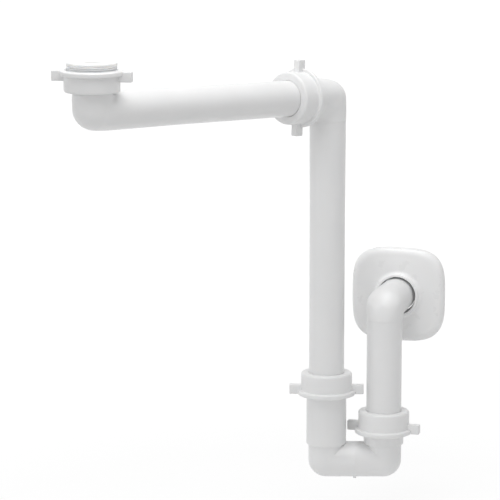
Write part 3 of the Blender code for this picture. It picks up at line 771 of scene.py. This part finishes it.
# Floor, light and camera
VIEW_HEADING = math.radians(16.188)
VIEW_TURN = Matrix.Rotation(VIEW_HEADING, 3, "Z")
CAMERA_PLACE = (0.773, -2.200, 0.265)
CAMERA_TILT = math.radians(90.0 - 10.27)   # from straight down: 10.27 degrees below level
FOCAL = 2868.0                # pixels of the picture
PICTURE = 500.0               # side of the picture in pixels
SENSOR = 36.0                 # millimetres
VIEW_END = 100.0
FLOOR_PLACE = (0.12, 0.20, -0.445)
FLOOR_REACH = 30.0
FLOOR_SHADED = 0.14           # the seen floor's colour under its glow, which shows the shade
FLOOR_PLAIN = 0.93            # the floor's colour for the light that it gives to the object
FLOOR_FADE = (0.3, 1.2)       # where the seen floor's glow changes, from the floor's middle
FLOOR_GLOW = (0.885, 1.0)
# The surround's light from the camera's left, right and front
WORLD_SIDES = [((-1.0, 0.0, 0.0), 0.93), ((1.0, 0.0, 0.0), 0.52), ((0.0, -1.0, 0.0), 0.43)]
LAMP_AIM = Vector((0.1, 0.15, -0.2))


def looked_at(tree):
    """1 for rays from the camera, by way of gloss or glass too, and 0 for light on the object."""
    path = tree.nodes.new("ShaderNodeLightPath")
    total = path.outputs["Is Camera Ray"]
    for name in ("Is Glossy Ray", "Is Transmission Ray"):
        inputs = {0: total, 1: path.outputs[name]}
        total = node_of(tree, "ShaderNodeMath", inputs, operation="MAXIMUM").outputs[0]
    return total


def make_floor():
    """A floor that looks white and takes a pale shade, and gives plain light to the object."""
    mesh = bpy.data.meshes.new("floor")
    far = FLOOR_REACH
    corners = [(-far, -far, 0.0), (far, -far, 0.0), (far, far, 0.0), (-far, far, 0.0)]
    mesh.from_pydata(corners, [], [(0, 1, 2, 3)])
    floor = bpy.data.objects.new("floor", mesh)
    floor.location = FLOOR_PLACE
    bpy.context.scene.collection.objects.link(floor)
    material = bpy.data.materials.new("pale_floor")
    material.use_nodes = True
    tree = material.node_tree
    tree.nodes.clear()
    place = tree.nodes.new("ShaderNodeTexCoord").outputs["Object"]
    away = node_of(tree, "ShaderNodeVectorMath", {0: place}, operation="LENGTH")
    white = mapped(tree, away.outputs["Value"], FLOOR_FADE, FLOOR_GLOW)
    glow = node_of(tree, "ShaderNodeEmission", {"Strength": white})
    shaded, plain = [node_of(tree, "ShaderNodeBsdfDiffuse", {"Color": (tone, tone, tone, 1.0)})
                     for tone in (FLOOR_SHADED, FLOOR_PLAIN)]
    seen = node_of(tree, "ShaderNodeAddShader", {0: shaded.outputs[0], 1: glow.outputs[0]})
    mix = node_of(tree, "ShaderNodeMixShader",
                  {0: looked_at(tree), 1: plain.outputs[0], 2: seen.outputs[0]})
    node_of(tree, "ShaderNodeOutputMaterial", {"Surface": mix.outputs[0]})
    mesh.materials.append(material)


def make_world():
    """A white surround; its light on the object comes from the camera's left, right and front."""
    world = bpy.data.worlds.new("studio")
    bpy.context.scene.world = world
    world.use_nodes = True
    tree = world.node_tree
    towards = tree.nodes.new("ShaderNodeTexCoord").outputs["Generated"]
    total = 0.0
    for side, strength in WORLD_SIDES:
        inputs = {0: towards, 1: VIEW_TURN @ Vector(side)}
        facing = node_of(tree, "ShaderNodeVectorMath", inputs, operation="DOT_PRODUCT")
        inputs = {0: facing.outputs["Value"], 1: 0.0}
        ahead = node_of(tree, "ShaderNodeMath", inputs, operation="MAXIMUM")
        inputs = {0: ahead.outputs[0], 1: strength, 2: total}
        total = node_of(tree, "ShaderNodeMath", inputs, operation="MULTIPLY_ADD").outputs[0]
    level = mapped(tree, looked_at(tree), (0.0, 1.0), (total, 1.0))
    set_inputs(tree, tree.nodes["Background"], {"Color": (1.0, 1.0, 1.0, 1.0), "Strength": level})


def softbox(name, right, ahead, above, size, watts):
    """A soft light aimed at the object's middle, placed from it as the camera sees it."""
    lamp = bpy.data.lights.new(name, "AREA")
    lamp.shape = "RECTANGLE"
    lamp.size = lamp.size_y = size
    lamp.energy = watts
    obj = bpy.data.objects.new(name, lamp)
    obj.location = LAMP_AIM + VIEW_TURN @ Vector((right, ahead, above))
    obj.rotation_euler = (LAMP_AIM - obj.location).to_track_quat("-Z", "Y").to_euler()
    bpy.context.scene.collection.objects.link(obj)


make_floor()
make_world()
softbox("top_softbox", right=0.0, ahead=0.0, above=1.6, size=0.9, watts=8.8)
softbox("near_softbox", right=-0.02, ahead=0.0, above=1.1, size=0.5, watts=1.3)
softbox("front_softbox", right=-0.02, ahead=-0.4, above=0.75, size=0.4, watts=1.5)

camera = bpy.data.cameras.new("camera")
camera.sensor_width = SENSOR
camera.lens = FOCAL / PICTURE * SENSOR
camera.clip_end = VIEW_END
view = bpy.data.objects.new("camera", camera)
view.location = CAMERA_PLACE
view.rotation_euler = (CAMERA_TILT, 0.0, VIEW_HEADING)
bpy.context.scene.collection.objects.link(view)
bpy.context.scene.camera = view
bpy.context.scene.view_settings.view_transform = "Standard"
